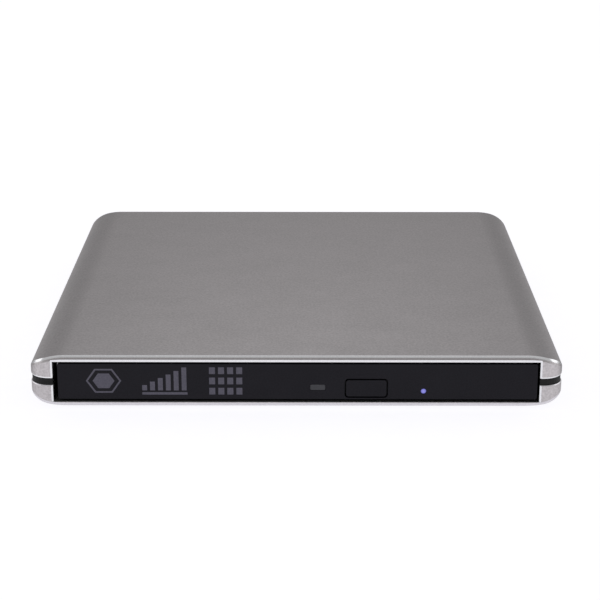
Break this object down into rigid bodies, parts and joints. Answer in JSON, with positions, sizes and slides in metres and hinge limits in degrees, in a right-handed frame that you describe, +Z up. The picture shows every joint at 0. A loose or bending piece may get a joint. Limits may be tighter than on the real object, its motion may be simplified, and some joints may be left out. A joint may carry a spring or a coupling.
{
  "type": "external optical drive",
  "caption": "Slim aluminium USB disc drive: two blasted shells with polished edges round a black bezel, and a sliding tray with spindle, sled and lens.",
  "frame": {"origin": "on the table, under the middle of the case's footprint", "axes": "+X to the right seen from the front, +Y towards the back where the ports are, +Z up; the tray slides out towards -Y"},
  "size_m": [0.142, 0.145, 0.0153],
  "materials": {
    "case_aluminium": "bead-blasted, with polished edges",
    "black_plastic": "satin",
    "tray_plastic": "fine matte",
    "pale_plastic": "natural acetal",
    "rubber": "matte",
    "sheet_steel": "zinc-plated sheet",
    "bright_steel": "ground",
    "screw_steel": "black zinc",
    "die_cast_zinc": "die-cast",
    "circuit_board": "solder mask",
    "connector_black": "moulded",
    "wound_copper": "enamelled copper winding",
    "light_guide": "smoky translucent",
    "blue_lamp": "lit blue",
    "lens_glass": "coated lens",
    "ribbon": "flat flexible cable"
  },
  "bodies": {
    "case": {"top_shell": "case_aluminium", "bottom_shell": "case_aluminium", "mid_frame": "black_plastic", "foot_front_left": "rubber", "foot_front_right": "rubber", "foot_rear_left": "rubber", "foot_rear_right": "rubber", "case_screw_left": "screw_steel", "case_screw_right": "screw_steel", "bridge_board": "circuit_board", "sata_plug": "connector_black", "usb_port": "sheet_steel", "dc_jack": "connector_black", "drive_base": "sheet_steel", "drive_cover": "sheet_steel", "cover_screw_left": "screw_steel", "cover_screw_right": "screw_steel", "guide_left": "pale_plastic", "guide_right": "pale_plastic", "main_board": "circuit_board", "sata_socket": "connector_black", "ribbon_cable": "ribbon"},
    "left_rail": {"rail_left": "bright_steel"},
    "right_rail": {"rail_right": "bright_steel"},
    "disc_tray": {"tray": "tray_plastic", "bezel": "black_plastic", "activity_window": "light_guide", "status_light": "blue_lamp", "front_board": "circuit_board", "tray_bottom_plate": "sheet_steel", "traverse_frame": "tray_plastic", "traverse_cover": "sheet_steel", "traverse_screw_near": "screw_steel", "traverse_screw_far": "screw_steel", "spindle_base": "sheet_steel", "stator": "wound_copper", "main_rod": "bright_steel", "sub_rod": "bright_steel", "feed_motor": "sheet_steel", "damper_inner": "rubber", "damper_left": "rubber", "damper_right": "rubber", "damper_screw_inner": "screw_steel", "damper_screw_left": "screw_steel", "damper_screw_right": "screw_steel", "solenoid": "wound_copper", "plunger_spring": "bright_steel"},
    "button": {"eject_button": "black_plastic"},
    "turntable": {"rotor": "bright_steel", "friction_ring": "rubber"},
    "claw_1": {"disc_claw_1": "pale_plastic"},
    "claw_2": {"disc_claw_2": "pale_plastic"},
    "claw_3": {"disc_claw_3": "pale_plastic"},
    "feed_screw": {"lead_screw": "bright_steel"},
    "optical_sled": {"sled": "die_cast_zinc", "sled_cover": "sheet_steel"},
    "lens_carrier": {"lens_holder": "black_plastic", "lens": "lens_glass"},
    "latch": {"latch_lever": "pale_plastic"},
    "ejector": {"eject_plunger": "pale_plastic"}
  },
  "joints": [
    {"name": "tray_slide", "type": "slide", "parent": "case", "child": "disc_tray", "axis": [0, -1, 0], "range_m": [0, 0.129], "deforming": ["ribbon_cable"]},
    {"name": "rail_left_slide", "type": "slide", "parent": "case", "child": "left_rail", "axis": [0, -1, 0], "range_m": [0, 0.0645]},
    {"name": "rail_right_slide", "type": "slide", "parent": "case", "child": "right_rail", "axis": [0, -1, 0], "range_m": [0, 0.0645]},
    {"name": "eject_button_press", "type": "slide", "parent": "disc_tray", "child": "button", "axis": [0, 1, 0], "range_m": [0, 0.0008], "stiffness_N_per_m": 600},
    {"name": "spindle_spin", "type": "hinge", "parent": "disc_tray", "child": "turntable", "pos_m": [0, -0.0048, 0.0085], "axis": [0, 0, 1], "continuous": true},
    {"name": "sled_slide", "type": "slide", "parent": "disc_tray", "child": "optical_sled", "axis": [-0.7071, -0.7071, 0], "range_m": [0, 0.034]},
    {"name": "lead_screw_spin", "type": "hinge", "parent": "disc_tray", "child": "feed_screw", "pos_m": [-0.02058, -0.04503, 0.0062], "axis": [0.7071, 0.7071, 0], "range_deg": [0, 4090]},
    {"name": "lens_focus", "type": "slide", "parent": "optical_sled", "child": "lens_carrier", "axis": [0, 0, 1], "range_m": [-0.0004, 0.0004]},
    {"name": "latch_turn", "type": "hinge", "parent": "disc_tray", "child": "latch", "pos_m": [0.04, -0.061, 0.0052], "axis": [0, 0, -1], "range_deg": [0, 12]},
    {"name": "eject_plunger_slide", "type": "slide", "parent": "disc_tray", "child": "ejector", "axis": [0, 1, 0], "range_m": [0, 0.008], "deforming": ["plunger_spring"]},
    {"name": "claw_1_slide", "type": "slide", "parent": "turntable", "child": "claw_1", "axis": [-0.2588, 0.9659, 0], "range_m": [0, 0.0006]},
    {"name": "claw_2_slide", "type": "slide", "parent": "turntable", "child": "claw_2", "axis": [-0.7071, -0.7071, 0], "range_m": [0, 0.0006]},
    {"name": "claw_3_slide", "type": "slide", "parent": "turntable", "child": "claw_3", "axis": [0.9659, -0.2588, 0], "range_m": [0, 0.0006]}
  ],
  "couplings": [
    {"joint": "rail_left_slide", "follows": "tray_slide", "ratio": 0.5},
    {"joint": "rail_right_slide", "follows": "tray_slide", "ratio": 0.5},
    {"joint": "eject_plunger_slide", "follows": "tray_slide", "ratio": 0.062},
    {"joint": "lead_screw_spin", "follows": "sled_slide", "rad_per_m": 2094.4},
    {"joint": "claw_2_slide", "follows": "claw_1_slide", "ratio": 1},
    {"joint": "claw_3_slide", "follows": "claw_1_slide", "ratio": 1}
  ]
}
